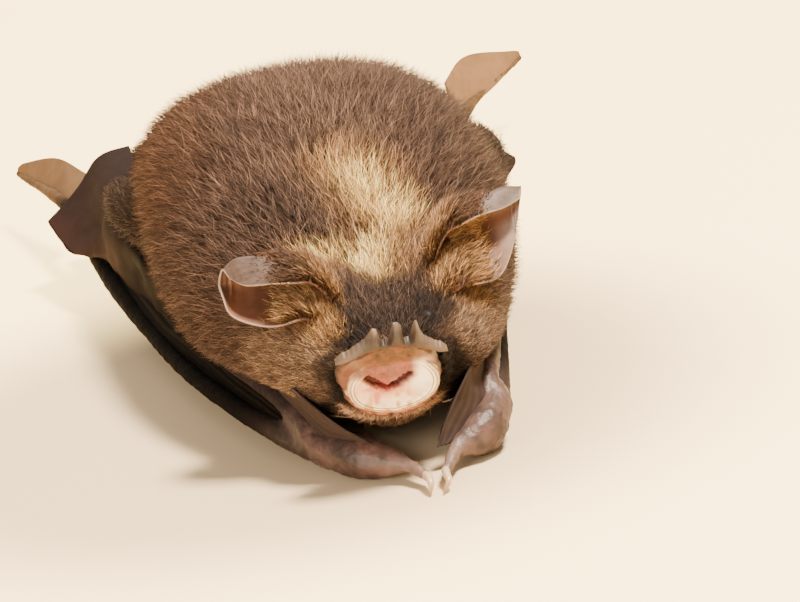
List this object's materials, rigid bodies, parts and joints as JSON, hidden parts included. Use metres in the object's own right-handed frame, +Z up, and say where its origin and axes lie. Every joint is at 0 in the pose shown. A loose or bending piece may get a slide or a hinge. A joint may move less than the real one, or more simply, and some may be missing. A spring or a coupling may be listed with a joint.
{
  "type": "trident leaf-nosed bat",
  "caption": "Small leaf-nosed bat crouched on wrists and feet, wings folded along its sides; a still, life-size display model.",
  "frame": {"origin": "on the floor, under the centre of the whole bat's bounding box", "axes": "+Y along the bat from its nose to its tail, so that it faces -Y; +X to its left; +Z up from the floor"},
  "size_m": [0.0349, 0.0654, 0.016],
  "materials": {
    "fur": "soft dense fur, dark brown at the roots with pale cream-brown tips",
    "noseleaf": "bare pink and cream skin, satin, finely ridged",
    "ear": "thin grey-brown skin with a pale rim, satin",
    "eye": "wet black gloss",
    "bare_skin": "bare pinkish-brown skin, slightly glossy",
    "wing_membrane": "thin dark purple-brown folded skin, tan where light shows through",
    "claw": "translucent ivory horn"
  },
  "bodies": {
    "root": {"head": "fur", "jaw": "fur", "neck": "fur", "trunk": "fur", "rump": "fur", "upper_arm_right": "fur", "upper_arm_left": "fur", "thigh_right": "fur", "thigh_left": "fur", "noseleaf_front": "noseleaf", "noseleaf_rear": "noseleaf", "ear_right": "ear", "ear_left": "ear", "eye_right": "eye", "eye_left": "eye", "forearm_right": "bare_skin", "forearm_left": "bare_skin", "wrist_right": "bare_skin", "wrist_left": "bare_skin", "thumb_right": "bare_skin", "thumb_left": "bare_skin", "finger_3_right": "bare_skin", "finger_3_left": "bare_skin", "finger_4_right": "bare_skin", "finger_4_left": "bare_skin", "finger_5_right": "bare_skin", "finger_5_left": "bare_skin", "shank_right": "bare_skin", "shank_left": "bare_skin", "foot_right": "bare_skin", "foot_left": "bare_skin", "tail": "bare_skin", "hand_membrane_right": "wing_membrane", "hand_membrane_left": "wing_membrane", "arm_membrane_right": "wing_membrane", "arm_membrane_left": "wing_membrane", "side_membrane_right": "wing_membrane", "side_membrane_left": "wing_membrane", "leg_membrane_right": "wing_membrane", "leg_membrane_left": "wing_membrane", "wing_tip_right": "wing_membrane", "wing_tip_left": "wing_membrane", "tail_membrane_right": "wing_membrane", "tail_membrane_left": "wing_membrane", "thumb_claw_right": "claw", "thumb_claw_left": "claw"}
  },
  "joints": []
}
